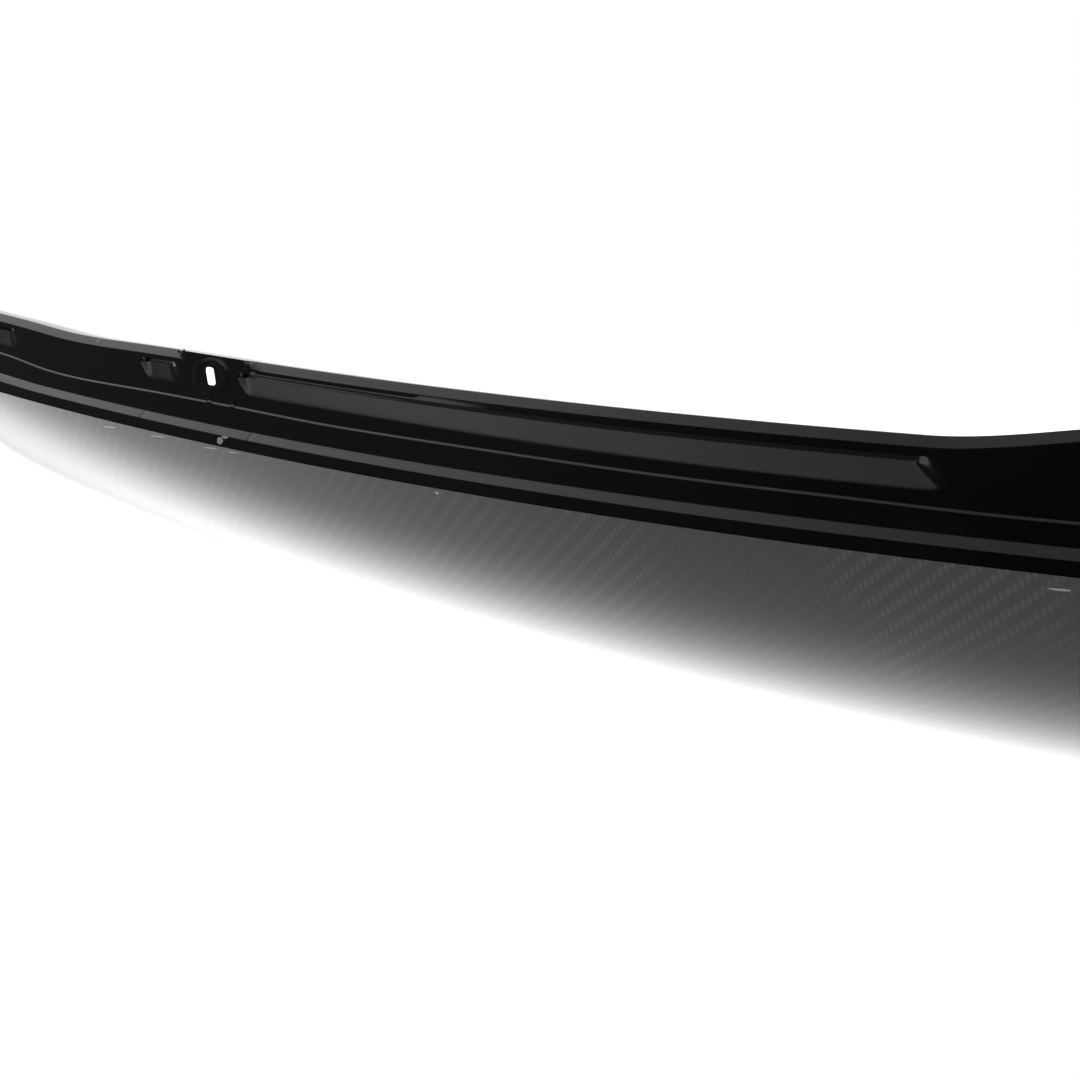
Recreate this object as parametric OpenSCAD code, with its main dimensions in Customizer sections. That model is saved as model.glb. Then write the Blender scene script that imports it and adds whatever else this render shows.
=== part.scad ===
// Car bonnet with its latch and hinge hardware, lying on its outer face.
// X runs across the car, -Y points to the nose, +Z out of the underside. Millimetres.

/* [Outline] */
// Length from the nose to the line of the rear corners
bonnet_length = 950; // [900:10:1000]
// Half width at the front corners
half_front = 725; // [723:1:735]
// Half width at the rear corners
half_rear = 760; // [750:1:775]
// How far the front edge sweeps back at the reference half width
front_bow = 55; // [40:1:65]
// How far the rear edge is cut in at the centre line
rear_bow = 40; // [20:1:60]
// How far the rounded corners are cut back
corner_cut = 45; // [35:1:55]

/* [Skin shape] */
// Rise of the side over the centre line at the reference half width
crown = 69; // [60:1:75]
// Height of the tight curve at the nose
nose_tight = 44.5; // [38:0.5:48]
// Height of the long curve behind the nose
nose_long = 106.5; // [98:0.5:115]
// Rise from the nose to the rear edge
rear_rise = 45; // [35:1:50]
// Height of the turned side edges
side_turn = 8; // [4:1:10]

/* [Laminates] */
// Thickness of the outer skin
skin_thick = 2; // [1.6:0.1:2.2]
// Thickness of the inner frame
frame_thick = 2; // [1.6:0.1:2.2]
// Adhesive gap between the two mouldings
bond_gap = 1.2; // [1:0.1:1.5]

/* [Inner frame] */
// Height of the hat sections over their flanges
hat_height = 26; // [22:1:28]
// Height of the front wall over the skin's edge
wall_height = 36.8; // [36:0.1:38]
// Extra height of the latch shelf
shelf_rise = 8; // [6:1:10]
// Depth of the top of the pockets pressed into the front wall
pocket_depth = 4; // [2:0.5:4]

/* [Fasteners] */
// Radius of the bolt shanks
bolt_r = 4; // [4:0.5:5]
// Thickness of the tapped plates
plate_thick = 8; // [8:1:10]
// Radius of the hinge pins
pin_r = 5; // [5:0.5:6]

/* [Hidden] */

$fn = 48;
ref_half = 650;        // half width at which the sweeps and the crown are stated
corner_power = 60;     // how suddenly the corners are rounded
tight_reach = 30;      // decay length of the nose's tight curve
long_reach = 200;      // decay length of the nose's long curve
tight_fade = 6.5;        // loss of the tight curve at the reference half width
long_fade = 20.5;        // loss of the long curve at the reference half width
side_reach = 12;       // decay length of the turned side edge

// Columns of the grid, as half widths at the nose. The frame's stop short of the skin's edge.
brace = [60, 72, 82, 122, 132, 144];       // flange, foot, top, top, foot, flange
side = [605, 621, 633, 691, 703, 719];
long_pocket = [157, 163, 451, 457];
small_pocket = [498, 503, 518, 523];
corner_pocket = [628, 633, 680, 685];
slot_x = [474.5, 482];
access_x = [490, 523];
plain_half = [0, 20, 40, 230, 305, 380, 545, 575, 660];
function sorted(v) = len(v) < 2 ? v : let (p = v[0])
    concat(sorted([for (k = v) if (k < p) k]), [p], sorted([for (k = v) if (k > p) k]));
frame_half = sorted(concat(plain_half, brace, side, long_pocket, small_pocket, corner_pocket,
    slot_x, access_x));
skin_half = concat(frame_half, [half_front]);
function mirrored(half) = concat([for (k = [len(half) - 1:-1:1]) -half[k]], half);
frame_cols = mirrored(frame_half);
skin_cols = mirrored(skin_half);

// Rows of the grid: [distance behind the nose, share of the length]
front_flange = [84, 100];
rear_flange_in = -108;
middle_rows = [for (f = [0.2, 0.27, 0.34, 0.43, 0.53, 0.63, 0.74]) [0, f]];
rear_hat_rows = [-92, -80, -30, -20];      // foot, top, top, foot
hinge_pad_start = -150;
frame_end = -6;
rear_rows = [for (a = concat([hinge_pad_start, rear_flange_in], rear_hat_rows, [frame_end])) [a, 1]];
skin_front = [0, 3, 8, 15, 24, 36, 54, front_flange[0], front_flange[1]];
skin_rows = concat([for (t = skin_front) [t, 0]], middle_rows, rear_rows, [[0, 1]]);

// Front wall of the frame: [distance behind the nose, height over the skin's edge]
wall = [
    [0.9, 4.7], [5, 7.7], [6.4, 17.2], [7.6, 21.2], [8, 22.4], [10.05, 30.4], [10.3, 31.4],
    [10.9, 33.3], [14.2, wall_height], [18.5, wall_height - 0.1], [26, wall_height - 0.5],
    [32, wall_height - 1.5], [46, 12]
];
wall_rows = len(wall);
pocket_rows = [4, 5];
pocket_share = [0.1, 1];                  // share of the depth at each of them
lip_row = 7;
shelf_rows = [9, 11];
back_wall = [60, 45];                      // a row on the back of the front rail, and its height there
shelf_back = [0, 0, 0, 0, 0, 0, 0, 0, 0, 0, 32, 34, 24];
rail_back = 16;                            // the same for the row on the rail's back
rise_reach = [84, 163];                    // half widths where the latch shelf's extra height is full and none
frame_rows = concat([for (w = wall) [w[0], 0]], [[back_wall[0], 0]], [for (t = front_flange) [t, 0]],
    middle_rows, rear_rows);
flange_row = wall_rows + 1;
first_window_row = flange_row + 1;
first_rear_row = first_window_row + 1 + len(middle_rows);
window_end_row = first_rear_row + 1;
buffer_rows = [first_window_row + 2, first_window_row + 3];
hinge_rows = [first_rear_row, first_rear_row + 4];

function smooth(s) = let (c = max(0, min(1, s))) c * c * (3 - 2 * c);
function off_centre(x) = pow(x / ref_half, 2);
function corner(x, half) = corner_cut * pow(min(1, abs(x) / half), corner_power);
function front_y(x) = front_bow * off_centre(x) + corner(x, half_front);
function rear_y(x) = bonnet_length - rear_bow * (1 - pow(x / half_rear, 2)) - corner(x, half_rear);

// A column's half width at the rear: the braces splay from the latch to the hinges.
function rear_x(x) = sign(x) * lookup(abs(x),
    [[0, 0], [60, 330], [144, 414], [605, 640], [half_front, half_rear]]);
function spread(row) = smooth(row[1]);
function col_x(x, row) = x + (rear_x(x) - x) * spread(row);
function row_y(x, row) = front_y(x) * (1 - row[1]) + rear_y(rear_x(x)) * row[1] + row[0];
function half_at(row) = half_front + (half_rear - half_front) * spread(row);

// Height of the outer face, and its slope along Y
function nose_a(x) = nose_tight - tight_fade * off_centre(x);
function nose_b(x) = nose_long - long_fade * off_centre(x);
function behind(x, y) = max(0, y - front_y(x));
function outer_z(x, y, half) = let (t = behind(x, y))
    crown * off_centre(x) + nose_a(x) * exp(-t / tight_reach) + nose_b(x) * exp(-t / long_reach)
    + rear_rise * pow(t / bonnet_length, 2) + side_turn * exp((abs(x) - half) / side_reach);
function slope(x, y) = let (t = behind(x, y))
    -nose_a(x) / tight_reach * exp(-t / tight_reach) - nose_b(x) / long_reach * exp(-t / long_reach)
    + 2 * rear_rise * t / pow(bonnet_length, 2);
function inner_z(x, y, half) = outer_z(x, y, half) + skin_thick * sqrt(1 + pow(slope(x, y), 2));

// Stretch of a vertical offset that keeps it even across a leaning face
function front_slope(x) = sign(x) * (2 * front_bow * abs(x) / pow(ref_half, 2)
    + corner_cut * corner_power / half_front * pow(min(1, abs(x) / half_front), corner_power - 1));
function across_slope(x, y, half) = sign(x) * (2 * crown * abs(x) / pow(ref_half, 2)
    + side_turn / side_reach * exp((abs(x) - half) / side_reach)) - front_slope(x) * slope(x, y);
function lean(x, y, half) = sqrt(1 + pow(slope(x, y), 2) + pow(across_slope(x, y, half), 2));
function over_skin(x, y, half, gap) = inner_z(x, y, half) + gap * lean(x, y, half);
function bonded_z(x, y, half) = over_skin(x, y, half, bond_gap + frame_thick);

// The part's origin: under the middle of its box
z_low = min([for (r = skin_rows) outer_z(0, row_y(0, r), half_at(r))]);
y_back = max([for (x = skin_cols) rear_y(rear_x(x))]);
y_mid = y_back / 2;

// Height of the frame's upper face
function hat(x) = max(lookup(abs(x), [[brace[1], 0], [brace[2], 1], [brace[3], 1], [brace[4], 0]]),
    lookup(abs(x), [[side[1], 0], [side[2], 1], [side[3], 1], [side[4], 0]]));
function rear_hat(row) = row[1] < 1 ? 0 : let (r = rear_hat_rows)
    lookup(row[0], [[r[0], 0], [r[1], 1], [r[2], 1], [r[3], 0]]);
function outer_row(row) = row[1] == 1 && row[0] >= rear_hat_rows[3];
function in_range(x, a, b) = abs(x) > a - 0.01 && abs(x) < b + 0.01;
function in_pocket(x) = in_range(x, long_pocket[1], long_pocket[2])
    || in_range(x, small_pocket[1], small_pocket[2]) || in_range(x, corner_pocket[1], corner_pocket[2]);
function centre_rise(x) = shelf_rise * smooth((rise_reach[1] - abs(x)) / (rise_reach[1] - rise_reach[0]));
function on_shelf(x) = smooth((brace[3] - abs(x)) / (brace[3] - brace[0]));
function raised_z(x, j) = let (r = frame_rows[j], px = col_x(x, r), py = row_y(x, r))
    bonded_z(px, py, half_at(r))
    + (j == wall_rows ? back_wall[1] * (1 - lookup(abs(x), [[side[3], 0], [side[4], 1]]))
        : outer_row(r) ? 0 : hat_height * max(hat(x), rear_hat(r)));
function flat_z(j0, j1) = (raised_z(side[2], j0) + raised_z(side[3], j1)) / 2;
buffer_z = flat_z(buffer_rows[0], buffer_rows[1]);
hinge_drop = 17;                           // how far the hinge pads are sunk into the side rails
hinge_z = flat_z(hinge_rows[0], hinge_rows[1]) - hinge_drop;
shelf_z = outer_z(0, 0, half_front) + wall_height + shelf_rise;

function wall_point(x, j) =
    let (w = wall[j],
        share = in_pocket(x) ? j == pocket_rows[0] ? pocket_share[0] : j == pocket_rows[1] ? pocket_share[1] : 0 : 0,
        t = w[0] + share * pocket_depth + on_shelf(x) * shelf_back[j],
        y = front_y(x) + t,
        low = bonded_z(x, y, half_front),
        lift = j < lip_row ? 0 : centre_rise(x),
        flat = j >= shelf_rows[0] && j <= shelf_rows[1] && abs(x) <= brace[0],
        high = flat ? shelf_z : outer_z(x, front_y(x), half_front) + w[1] + lift)
    [x, y, high + (low - high) * lookup(abs(x), [[side[3], 0], [side[4], 1]])];
function frame_point(x, j) =
    let (r = frame_rows[j],
        back = j == wall_rows ? on_shelf(x) * rail_back : 0,
        on_side = in_range(x, side[2], side[3]),
        z = on_side && (j == buffer_rows[0] || j == buffer_rows[1]) ? buffer_z
            : on_side && j >= hinge_rows[0] && j <= hinge_rows[1] ? hinge_z : raised_z(x, j))
    j < wall_rows ? wall_point(x, j) : [col_x(x, r), row_y(x, r) + back, z];
function placed(p) = [p[0], p[1] - y_mid, p[2] - z_low];

frame_top = [for (j = [0:len(frame_rows) - 1]) [for (x = frame_cols) placed(frame_point(x, j))]];
function near(k, n) = max(0, min(n - 1, k));
function normal(g, j, i) = let (
        du = g[j][near(i + 1, len(g[0]))] - g[j][near(i - 1, len(g[0]))],
        dv = g[near(j + 1, len(g))][i] - g[near(j - 1, len(g))][i],
        c = cross(du, dv)) c / norm(c);
frame_under = [for (j = [0:len(frame_top) - 1]) [for (i = [0:len(frame_cols) - 1])
    frame_top[j][i] - frame_thick * normal(frame_top, j, i)]];
function skin_point(x, r, inside) = let (px = col_x(x, r), py = row_y(x, r), h = half_at(r))
    placed([px, py, inside ? inner_z(px, py, h) : outer_z(px, py, h)]);
skin_out = [for (r = skin_rows) [for (x = skin_cols) skin_point(x, r, false)]];
skin_in = [for (r = skin_rows) [for (x = skin_cols) skin_point(x, r, true)]];

// Cells of the frame that are open: the windows, the clip slots and the access holes behind them
function mid(cols, i) = abs(cols[i] + cols[i + 1]) / 2;
function between(v, a, b) = v > a && v < b;
function frame_cell(j, i) = let (x = mid(frame_cols, i))
    !(j >= first_window_row && j < window_end_row && (x < brace[0] || between(x, brace[5], side[0])))
    && !(between(x, slot_x[0], slot_x[1]) && (j == pocket_rows[0] || j == pocket_rows[1]))
    && !(between(x, access_x[0], access_x[1]) && (j == shelf_rows[0] + 1 || j == shelf_rows[0] + 2));

// A closed shell between two grids of points, over the cells that are kept
module grid_shell(top, under, keep) {
    rows = len(top);
    cols = len(top[0]);
    size = rows * cols;
    middle = (cols - 1) / 2;
    function at(j, i) = j * cols + i;
    function kept(j, i) = j >= 0 && i >= 0 && j < rows - 1 && i < cols - 1 && keep[j][i];
    function split(a, b, c, d, flip) = flip ? [[a, b, d], [b, c, d]] : [[a, b, c], [a, c, d]];
    function side_faces(a, b) = [[a, b, b + size], [a, b + size, a + size]];
    faces = [for (j = [0:rows - 2]) for (i = [0:cols - 2]) if (kept(j, i))
        let (a = at(j, i), b = at(j + 1, i), c = at(j + 1, i + 1), d = at(j, i + 1), flip = i < middle)
        each concat(
            split(a, b, c, d, flip),
            [for (f = split(a, b, c, d, flip)) [f[2] + size, f[1] + size, f[0] + size]],
            kept(j, i - 1) ? [] : side_faces(b, a),
            kept(j + 1, i) ? [] : side_faces(c, b),
            kept(j, i + 1) ? [] : side_faces(d, c),
            kept(j - 1, i) ? [] : side_faces(a, d))];
    polyhedron(concat([for (r = top) each r], [for (r = under) each r]), faces, convexity = 10);
}
function all_cells(g) = [for (j = [0:len(g) - 2]) [for (i = [0:len(g[0]) - 2]) true]];

module outer_skin() color([0.12, 0.12, 0.13]) grid_shell(skin_in, skin_out, all_cells(skin_in));
module inner_frame() color([0.04, 0.04, 0.05])
    grid_shell(frame_top, frame_under,
        [for (j = [0:len(frame_rows) - 2]) [for (i = [0:len(frame_cols) - 2]) frame_cell(j, i)]]);

// Adhesive beads between the flanges and the skin, a little clear of both
bead_clear = 0.35;
bead_rows = [for (j = [flange_row:len(frame_rows) - 1]) frame_rows[j]];
inner_flange_row = window_end_row;
outer_flange_row = len(frame_rows) - 2;
function bead_face(lift) = [for (r = bead_rows) [for (x = frame_cols)
    let (px = col_x(x, r), py = row_y(x, r)) placed([px, py, over_skin(px, py, half_at(r), lift)])]];
module bead(region) color([0.3, 0.3, 0.28])
    grid_shell(bead_face(bond_gap - bead_clear), bead_face(bead_clear),
        [for (j = [0:len(bead_rows) - 2]) [for (i = [0:len(frame_cols) - 2])
            region((frame_cols[i] + frame_cols[i + 1]) / 2, j + flange_row)]]);
function side_bead(x, j) = between(x, side[4], side[5])
    || (between(x, side[0], side[1]) && j <= inner_flange_row);
module bond_front() bead(function (x, j) j == flange_row && abs(x) < side[0]);
module bond_rear() bead(function (x, j)
    (j == inner_flange_row && abs(x) < side[0]) || (j == outer_flange_row && abs(x) < side[4]));
module bond_left() bead(function (x, j) side_bead(-x, j));
module bond_right() bead(function (x, j) side_bead(x, j));
module bond_braces() bead(function (x, j) between(j, flange_row, inner_flange_row)
    && (between(abs(x), brace[0], brace[1]) || between(abs(x), brace[4], brace[5])));

steel = [0.7, 0.7, 0.68];
rubber = [0.08, 0.08, 0.08];
fit_play = 0.05;
running_gap = 0.4;
sheet = 3;                                 // thickness of the pressed steel parts

// A plate that stands across X, from an outline in Y and Z
module upright(x, thick = sheet) translate([x, 0, 0]) rotate([90, 0, 90]) linear_extrude(thick) children();
module along_x(x, length, r) translate([x, 0, 0]) rotate([0, 90, 0]) cylinder(h = length, r = r);

// Flanged hexagon bolt, its head's underside at z = 0
head_r = 7.5;
head_height = 5.5;
washer_r = 9;
washer_height = 1.5;
module flange_bolt(length) {
    cylinder(h = washer_height, r = washer_r);
    translate([0, 0, washer_height]) cylinder(h = head_height, r = head_r, $fn = 6);
    translate([0, 0, -length]) cylinder(h = length + 0.01, r = bolt_r);
}
module two_holes(gap, r, along = [1, 0, 0])
    for (s = [-1, 1]) translate(s * gap / 2 * along) cylinder(h = 6 * plate_thick, r = r, center = true);

// Latch hardware, in its own frame: the origin is on the shelf, under the striker
latch_back = 42;                           // from the skin's edge
latch_at = [0, latch_back - y_mid, shelf_z - z_low];
latch_size = [100, 40];
latch_bolt_gap = 52;
striker_size = [72, 32];
striker_z = plate_thick + sheet;
loop_x = -8;
loop_r = 14;                               // half the distance between the loop's legs
loop_leg = 26;
wire_r = 4;
lug_x = 10;
catch_x = lug_x + sheet + running_gap;
catch_z = striker_z + 16;
catch_r = 9;
module at_latch() translate(latch_at) children();
module latch_plate() color([0.75, 0.76, 0.77]) at_latch() difference() {
    translate([-latch_size[0] / 2, -latch_size[1] / 2, 0]) cube([latch_size[0], latch_size[1], plate_thick]);
    two_holes(latch_bolt_gap, bolt_r + fit_play);
}
module striker() color(steel) at_latch() {
    difference() {
        translate([-striker_size[0] / 2, -striker_size[1] / 2, plate_thick])
            cube([striker_size[0], striker_size[1], sheet]);
        two_holes(latch_bolt_gap, bolt_r + 0.5);
    }
    for (s = [-1, 1]) translate([loop_x, s * loop_r, striker_z - 1]) cylinder(h = loop_leg + 1, r = wire_r);
    translate([loop_x, 0, striker_z + loop_leg]) rotate([90, 0, 90]) rotate_extrude(angle = 180)
        translate([loop_r, 0]) circle(r = wire_r);
    upright(lug_x) difference() {
        union() {
            translate([0, catch_z]) circle(r = catch_r);
            translate([-catch_r, striker_z - 1]) square([2 * catch_r, catch_z - striker_z + 1]);
        }
        translate([0, catch_z]) circle(r = wire_r);
    }
}
module striker_bolts() color(steel) at_latch()
    for (s = [-1, 1]) translate([s * latch_bolt_gap / 2, 0, striker_z]) flange_bolt(plate_thick + sheet - 1);
module safety_catch() color([0.8, 0.62, 0.15]) at_latch() upright(catch_x) difference() {
    union() {
        translate([0, catch_z]) circle(r = catch_r);
        polygon([[-8, catch_z], [7, catch_z], [3, 47], [15, 50], [13, 58], [-9, 54]]);
        polygon([[-4, catch_z - 7], [-2, catch_z + 7], [-26, catch_z + 9], [-28, catch_z + 1]]);
    }
    translate([0, catch_z]) circle(r = wire_r + fit_play);
}
spring_turns = 3;
spring_r = 6.4;
spring_wire = 0.9;
spring_pitch = 2;
spring_x = catch_x + sheet + running_gap + spring_wire;
pivot_end = spring_x + spring_turns * spring_pitch;
pivot_head = 3;
module catch_pivot() color(steel) at_latch() translate([0, 0, catch_z]) {
    along_x(lug_x - pivot_head, pivot_head, wire_r + 3);
    along_x(lug_x - 0.01, pivot_end - lug_x + 0.02, wire_r);
    along_x(pivot_end, pivot_head - 1, wire_r + 3);
}
module catch_spring() color([0.3, 0.3, 0.32]) at_latch() translate([0, 0, catch_z])
    for (k = [0:spring_turns - 1]) translate([spring_x + k * spring_pitch, 0, 0]) rotate([0, 90, 0])
        rotate_extrude() translate([spring_r, 0]) circle(r = spring_wire);

// Hinge, in its own frame: the origin is on the pad, +X is outboard
hinge_back = 102;                          // from the line of the rear corners
hinge_at = [(rear_x(side[2]) + rear_x(side[3])) / 2, bonnet_length - hinge_back - y_mid, hinge_z - z_low];
hinge_plate_size = [50, 104];
hinge_bolt_gap = 72;
arm_size = [46, 100];
arm_z = plate_thick + sheet;
pivot_y = 34;
pivot_z = arm_z + 15;
knuckle_r = 11;
arm_ear_x = 17;
bracket_ear_x = arm_ear_x - sheet - running_gap;
bracket_z = arm_z + 24;
bracket_size = [41, 78];
bracket_front = -56;
body_bolt_gap = 45;
body_bolt_at = [-6, -20];
body_hole_r = 4.5;
pin_head_r = 8;
module at_hinge(s) mirror([s < 0 ? 1 : 0, 0, 0]) translate(hinge_at) children();
module knuckle(hole_r, foot) difference() {
    union() {
        translate([pivot_y, pivot_z]) circle(r = knuckle_r);
        polygon(foot);
    }
    translate([pivot_y, pivot_z]) circle(r = hole_r);
}
module hinge_plate(s) color([0.75, 0.76, 0.77]) at_hinge(s) difference() {
    translate([-hinge_plate_size[0] / 2, -hinge_plate_size[1] / 2, 0])
        cube([hinge_plate_size[0], hinge_plate_size[1], plate_thick]);
    two_holes(hinge_bolt_gap, bolt_r + fit_play, [0, 1, 0]);
}
module hinge_arm(s) color([0.16, 0.16, 0.17]) at_hinge(s) {
    difference() {
        translate([-arm_size[0] / 2, -arm_size[1] / 2, plate_thick]) cube([arm_size[0], arm_size[1], sheet]);
        two_holes(hinge_bolt_gap, bolt_r + 0.5, [0, 1, 0]);
    }
    upright(arm_ear_x) knuckle(pin_r, [[2, plate_thick + 1], [49, plate_thick + 1],
        [pivot_y + knuckle_r, pivot_z], [pivot_y - knuckle_r, pivot_z]]);
}
module hinge_bolts(s) color(steel) at_hinge(s)
    for (k = [-1, 1]) translate([0, k * hinge_bolt_gap / 2, arm_z]) flange_bolt(plate_thick + sheet - 1);
module hinge_pin(s) color(steel) at_hinge(s) translate([0, pivot_y, pivot_z]) {
    along_x(bracket_ear_x - running_gap - sheet, sheet, pin_head_r);
    along_x(bracket_ear_x - running_gap - 0.01, sheet * 2 + running_gap * 2 + 0.02, pin_r);
    along_x(arm_ear_x + sheet, sheet, pin_head_r);
}
module hinge_bracket(s) color([0.16, 0.16, 0.17]) at_hinge(s) {
    upright(bracket_ear_x) knuckle(pin_r + fit_play, [
        [bracket_front, bracket_z + 1], [bracket_front, bracket_z - 6],
        [pivot_y - knuckle_r + 1, pivot_z - 5], [pivot_y + knuckle_r, pivot_z], [pivot_y - 12, bracket_z + 1]]);
    difference() {
        translate([bracket_ear_x + sheet - bracket_size[0], bracket_front, bracket_z])
            cube([bracket_size[0], bracket_size[1], sheet]);
        translate([body_bolt_at[0], body_bolt_at[1], bracket_z]) two_holes(body_bolt_gap, body_hole_r, [0, 1, 0]);
    }
}

// Screw-in rubber buffer, in its own frame: the origin is on the pad
buffer_mid = (middle_rows[1] + middle_rows[2]) / 2;
buffer_col = (side[2] + side[3]) / 2;
buffer_at = [col_x(buffer_col, buffer_mid), row_y(buffer_col, buffer_mid) - y_mid, buffer_z - z_low];
boss_r = 13;
boss_height = 10;
stud_start = 5;
buffer_gap = 5;
disc_thick = 1.5;
cap_height = 14;
cap_round = 4;
module at_buffer(s) mirror([s < 0 ? 1 : 0, 0, 0]) translate(buffer_at) children();
module buffer_boss(s) color([0.75, 0.76, 0.77]) at_buffer(s) difference() {
    cylinder(h = boss_height, r = boss_r);
    cylinder(h = 3 * boss_height, r = bolt_r + fit_play, center = true);
}
module buffer_stud(s) color(steel) at_buffer(s) {
    translate([0, 0, stud_start]) cylinder(h = boss_height + buffer_gap - stud_start, r = bolt_r);
    translate([0, 0, boss_height + buffer_gap - disc_thick]) cylinder(h = disc_thick, r = boss_r - 1);
}
module buffer(s) color(rubber) at_buffer(s) translate([0, 0, boss_height + buffer_gap]) {
    cylinder(h = cap_height - cap_round, r = boss_r);
    rotate_extrude() {
        translate([boss_r - cap_round, cap_height - cap_round]) circle(r = cap_round);
        translate([0, cap_height - cap_round - 0.01]) square([boss_r - cap_round, cap_round + 0.01]);
    }
}

// Bulb seal along the rear rail, swept over the frame's columns
seal_lift = 0.9;
seal_end = 545;
seal_cols = [for (x = frame_cols) if (abs(x) <= seal_end) x];
seal_row = len(frame_rows) - 4;
seal_section = [[-8, 0], [8, 0], [8, 3], [5, 9], [0, 11], [-5, 9], [-8, 3]];
function seal_ring(x) = let (c = (placed(frame_point(x, seal_row)) + placed(frame_point(x, seal_row + 1))) / 2)
    [for (q = seal_section) [c[0], c[1] + q[0], c[2] + seal_lift + q[1]]];
module rear_seal() color(rubber) {
    rings = [for (x = seal_cols) seal_ring(x)];
    n = len(seal_section);
    m = len(rings);
    polyhedron([for (r = rings) each r], concat(
        [[for (k = [0:n - 1]) k]], [[for (k = [n - 1:-1:0]) (m - 1) * n + k]],
        [for (i = [0:m - 2]) for (k = [0:n - 1]) let (a = i * n + k, b = i * n + (k + 1) % n)
            each [[a, a + n, b + n], [a, b + n, b]]]));
}

outer_skin();
inner_frame();
bond_front();
bond_rear();
bond_left();
bond_right();
bond_braces();
latch_plate();
striker();
striker_bolts();
safety_catch();
catch_pivot();
catch_spring();
hinge_plate(-1);  // hinge_plate_left
hinge_arm(-1);  // hinge_arm_left
hinge_bolts(-1);  // hinge_bolts_left
hinge_pin(-1);  // hinge_pin_left
hinge_bracket(-1);  // hinge_bracket_left
hinge_plate(1);  // hinge_plate_right
hinge_arm(1);  // hinge_arm_right
hinge_bolts(1);  // hinge_bolts_right
hinge_pin(1);  // hinge_pin_right
hinge_bracket(1);  // hinge_bracket_right
buffer_boss(-1);  // buffer_boss_left
buffer_stud(-1);  // buffer_stud_left
buffer(-1);  // buffer_left
buffer_boss(1);  // buffer_boss_right
buffer_stud(1);  // buffer_stud_right
buffer(1);  // buffer_right
rear_seal();
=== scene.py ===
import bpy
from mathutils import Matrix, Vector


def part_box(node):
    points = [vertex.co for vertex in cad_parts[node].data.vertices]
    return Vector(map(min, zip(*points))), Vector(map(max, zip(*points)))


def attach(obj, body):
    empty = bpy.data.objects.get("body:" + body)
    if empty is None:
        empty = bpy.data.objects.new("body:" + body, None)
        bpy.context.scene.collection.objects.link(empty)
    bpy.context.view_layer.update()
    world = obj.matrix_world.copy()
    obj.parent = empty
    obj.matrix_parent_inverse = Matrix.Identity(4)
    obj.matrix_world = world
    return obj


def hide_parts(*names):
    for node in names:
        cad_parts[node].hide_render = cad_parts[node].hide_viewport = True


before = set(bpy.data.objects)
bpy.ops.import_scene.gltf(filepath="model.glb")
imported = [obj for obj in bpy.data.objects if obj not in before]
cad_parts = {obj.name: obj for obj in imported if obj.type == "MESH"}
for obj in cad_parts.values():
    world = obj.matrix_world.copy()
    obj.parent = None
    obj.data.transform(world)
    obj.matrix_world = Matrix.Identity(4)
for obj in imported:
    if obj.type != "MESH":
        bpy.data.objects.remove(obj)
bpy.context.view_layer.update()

# A carbon-fibre car bonnet lying on its outer face. The two mouldings are rebuilt here from the same
# formulas as the CAD part, in millimetres, with the finer shape of the real mouldings.
import math

import bpy
import numpy as np
from mathutils import Matrix, Vector

MM = 0.001

# ---------------------------------------------------------------- the bonnet's driving dimensions
LENGTH = 950.0
HALF_FRONT, HALF_REAR = 725.0, 760.0
FRONT_BOW, REAR_BOW, CORNER_CUT = 55.0, 40.0, 45.0
CROWN, NOSE_TIGHT, NOSE_LONG, REAR_RISE, SIDE_TURN = 69.0, 44.5, 106.5, 45.0, 8.0
SKIN_THICK = FRAME_THICK = 2.0
BOND_GAP, HAT_HEIGHT, WALL_HEIGHT, SHELF_RISE = 1.2, 26.0, 36.8, 8.0
REF_HALF, CORNER_POWER = 650.0, 60
TIGHT_REACH, LONG_REACH, SIDE_REACH = 30.0, 200.0, 12.0
TIGHT_FADE, LONG_FADE = 6.5, 20.5
BRACE = (60.0, 72.0, 82.0, 122.0, 132.0, 144.0)
SIDE = (605.0, 621.0, 633.0, 691.0, 703.0, 719.0)
SPLAY = ((0, 0), (60, 330), (144, 414), (605, 640), (HALF_FRONT, HALF_REAR))
FLANGE_START, FLANGE_END = 84.0, 100.0
RISE_REACH = (84.0, 163.0)
HINGE_DROP = 17.0
MIDDLE = (0.2, 0.27, 0.34, 0.43, 0.53, 0.63, 0.74)
REAR = (-150.0, -108.0, -92.0, -80.0, -30.0, -20.0, -6.0)


def smooth(s):
    c = np.clip(s, 0.0, 1.0)
    return c * c * (3 - 2 * c)


def rising(v, start, width):
    """0 up to the start, and 1 from start + width on."""
    return smooth((v - start) / width)


def falling(v, end, width):
    """1 up to end - width, and 0 from the end on."""
    return smooth((end - v) / width)


def hump(v, middle, width):
    """1 in the middle, and fading over the width to both sides."""
    return np.exp(-((v - middle) / width) ** 2)


def lookup(v, table):
    xs, ys = zip(*table)
    return np.interp(v, xs, ys)


def off_centre(x):
    return (x / REF_HALF) ** 2


def corner(x, half):
    return CORNER_CUT * np.minimum(1, np.abs(x) / half) ** CORNER_POWER


def front_y(x):
    return FRONT_BOW * off_centre(x) + corner(x, HALF_FRONT)


def rear_y(x):
    return LENGTH - REAR_BOW * (1 - (x / HALF_REAR) ** 2) - corner(x, HALF_REAR)


def rear_x(x):
    return np.sign(x) * lookup(np.abs(x), SPLAY)


# A row of the grid is (a, f): a millimetres behind the point at the share f of the length.
def col_x(x, f):
    return x + (rear_x(x) - x) * smooth(f)


def row_y(x, a, f):
    return front_y(x) * (1 - f) + rear_y(rear_x(x)) * f + a


def half_at(f):
    return HALF_FRONT + (HALF_REAR - HALF_FRONT) * smooth(f)


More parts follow.
